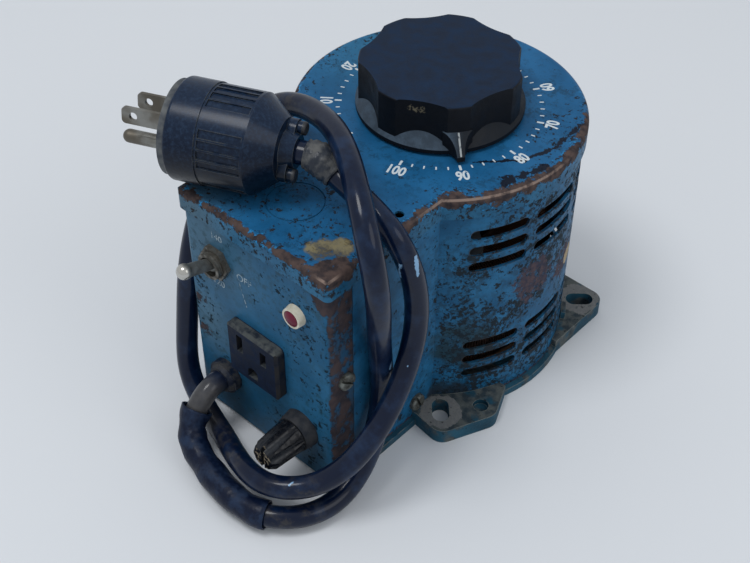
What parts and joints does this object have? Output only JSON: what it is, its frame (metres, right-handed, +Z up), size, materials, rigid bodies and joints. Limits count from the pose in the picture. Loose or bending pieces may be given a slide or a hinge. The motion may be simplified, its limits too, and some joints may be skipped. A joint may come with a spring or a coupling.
{
  "type": "variable autotransformer",
  "caption": "Bench-top variable autotransformer: vented round drum with a terminal box, dial knob, toggle switch, outlet, lamp, fuse post, cord and plug.",
  "frame": {"origin": "on the drum's axis, on the surface that the base stands on", "axes": "+Z up along the dial shaft, front panel faces -Y, +X to the right seen from the front"},
  "size_m": [0.128, 0.2014, 0.1506],
  "materials": {
    "cast_base": "worn blue enamel on a rough casting, bare and dirty on the lugs",
    "case_paint": "worn blue enamel on sheet steel, chipped and rusty at the edges",
    "fibre_board": "pressed fibre",
    "winding": "enamelled copper wire",
    "bearing_brass": "turned brass",
    "shaft_steel": "turned steel",
    "arm_aluminium": "cast aluminium",
    "carbon": "carbon",
    "knob_bakelite": "dusty black moulding",
    "switch_plating": "dull nickel plate",
    "nut_brass": "dirty plated brass",
    "lever_chrome": "worn nickel plate",
    "lamp_ivory": "aged ivory plastic",
    "lamp_red": "dark red lens",
    "outlet_bakelite": "worn black moulding",
    "fuse_bakelite": "black moulding",
    "gland_rubber": "black rubber",
    "cord_rubber": "smooth black rubber, lightly soiled",
    "plug_rubber": "black moulded rubber",
    "plug_fibre": "grey fibre disc",
    "prong_brass": "tarnished brass"
  },
  "bodies": {
    "case": {"base_casting": "cast_base", "drum_wall": "case_paint", "top_cap": "case_paint", "front_panel": "case_paint", "coil_seat": "fibre_board", "coil": "winding", "shaft_bearing": "bearing_brass", "switch_body": "switch_plating", "switch_nut": "nut_brass", "lamp_bezel": "lamp_ivory", "lamp_lens": "lamp_red", "outlet": "outlet_bakelite", "fuse_post": "fuse_bakelite", "cord_gland": "gland_rubber", "cord": "cord_rubber", "plug_body": "plug_rubber", "plug_face": "plug_fibre", "line_blade": "prong_brass", "neutral_blade": "prong_brass", "ground_pin": "prong_brass", "cord_clamp": "plug_rubber"},
    "dial": {"knob": "knob_bakelite", "shaft": "shaft_steel", "brush_arm": "arm_aluminium", "brush": "carbon"},
    "switch": {"switch_lever": "lever_chrome"},
    "fuse_knob": {"fuse_cap": "fuse_bakelite"}
  },
  "joints": [
    {"name": "dial_turn", "type": "hinge", "parent": "case", "child": "dial", "pos_m": [0, 0, 0.1126], "axis": [0, 0, 1], "range_deg": [-32.5, 288.5]},
    {"name": "switch_throw", "type": "hinge", "parent": "case", "child": "switch", "pos_m": [-0.02, -0.1034, 0.0862], "axis": [1, 0, 0], "range_deg": [0, 40]},
    {"name": "fuse_turn", "type": "hinge", "parent": "case", "child": "fuse_knob", "pos_m": [0.0215, -0.1024, 0.0248], "axis": [0, -1, 0], "range_deg": [0, 45]}
  ]
}
